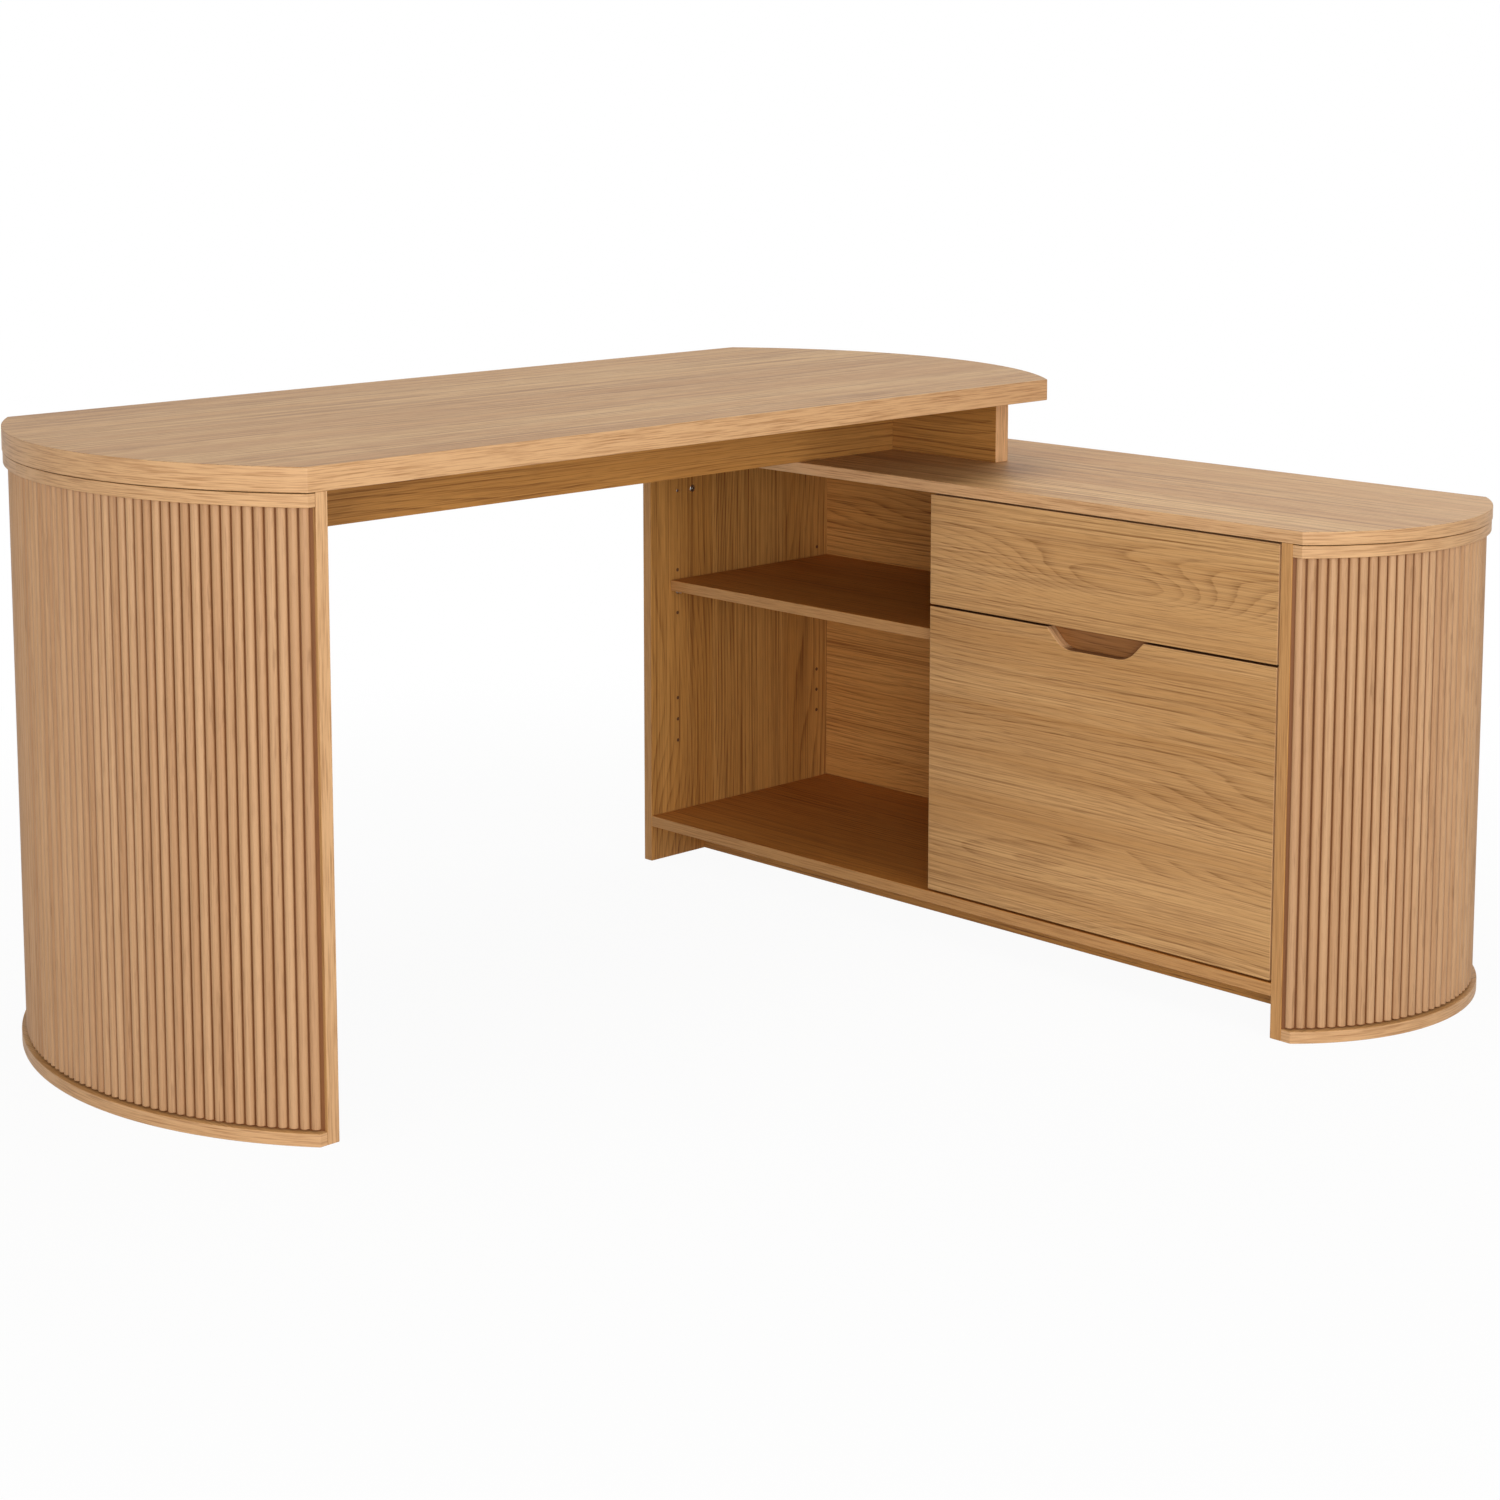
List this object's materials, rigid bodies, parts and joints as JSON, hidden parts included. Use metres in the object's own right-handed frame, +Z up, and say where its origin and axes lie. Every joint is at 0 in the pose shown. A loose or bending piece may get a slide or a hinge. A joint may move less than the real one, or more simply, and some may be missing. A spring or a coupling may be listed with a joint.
{
  "type": "corner writing desk",
  "caption": "Corner desk in oak veneer: a round-ended writing top on a slatted leg and a low cabinet with drawers, an open bay and a slatted round end.",
  "frame": {"origin": "on the floor, below the middle of the whole desk's box", "axes": "+X along the writing top towards the cabinet, +Y away from the sitter, +Z up"},
  "size_m": [1.549, 1.2389, 0.75],
  "materials": {
    "oak_veneer": "matt lacquer",
    "oak_slats": "matt lacquer",
    "bent_ply": "stained",
    "drawer_board": "matt lacquer",
    "beech_dowel": "raw",
    "runner_steel": "zinc plated",
    "zinc_fittings": "nickel plated"
  },
  "bodies": {
    "frame": {"cabinet_back": "oak_veneer", "cabinet_divider": "oak_veneer", "cabinet_far_panel": "oak_veneer", "cabinet_floor": "oak_veneer", "cabinet_near_panel": "oak_veneer", "cabinet_top": "oak_veneer", "cam_bolts": "zinc_fittings", "cam_caps": "zinc_fittings", "cam_fittings": "zinc_fittings", "desktop": "oak_veneer", "kick_rail": "oak_veneer", "knee_panel": "oak_veneer", "leg_backing": "bent_ply", "leg_bottom_board": "oak_veneer", "leg_middle_rib": "bent_ply", "leg_panel": "oak_veneer", "leg_slats": "oak_slats", "leg_top_board": "oak_veneer", "lower_drawer_runner_rails": "runner_steel", "pod_backing": "bent_ply", "pod_bottom_board": "oak_veneer", "pod_middle_rib": "bent_ply", "pod_slats": "oak_slats", "pod_top_board": "oak_veneer", "riser": "oak_veneer", "shelf": "oak_veneer", "shelf_pins": "zinc_fittings", "top_dowels": "beech_dowel", "upper_drawer_runner_rails": "runner_steel"},
    "upper_drawer": {"upper_drawer_bottom": "drawer_board", "upper_drawer_box_back": "drawer_board", "upper_drawer_box_front": "drawer_board", "upper_drawer_front": "oak_veneer", "upper_drawer_front_screws": "runner_steel", "upper_drawer_left_side": "drawer_board", "upper_drawer_right_side": "drawer_board", "upper_drawer_runner_slides": "runner_steel"},
    "upper_runner": {"upper_drawer_runner_middles": "runner_steel"},
    "lower_drawer": {"lower_drawer_bottom": "drawer_board", "lower_drawer_box_back": "drawer_board", "lower_drawer_box_front": "drawer_board", "lower_drawer_front": "oak_veneer", "lower_drawer_front_screws": "runner_steel", "lower_drawer_left_side": "drawer_board", "lower_drawer_right_side": "drawer_board", "lower_drawer_runner_slides": "runner_steel"},
    "lower_runner": {"lower_drawer_runner_middles": "runner_steel"}
  },
  "joints": [
    {"name": "upper_drawer_slide", "type": "slide", "parent": "frame", "child": "upper_drawer", "axis": [-1, 0, 0], "range_m": [0, 0.3]},
    {"name": "upper_runner_slide", "type": "slide", "parent": "frame", "child": "upper_runner", "axis": [-1, 0, 0], "range_m": [0, 0.15]},
    {"name": "lower_drawer_slide", "type": "slide", "parent": "frame", "child": "lower_drawer", "axis": [-1, 0, 0], "range_m": [0, 0.3]},
    {"name": "lower_runner_slide", "type": "slide", "parent": "frame", "child": "lower_runner", "axis": [-1, 0, 0], "range_m": [0, 0.15]}
  ],
  "couplings": [
    {"joint": "upper_runner_slide", "follows": "upper_drawer_slide", "ratio": 0.5},
    {"joint": "lower_runner_slide", "follows": "lower_drawer_slide", "ratio": 0.5}
  ]
}
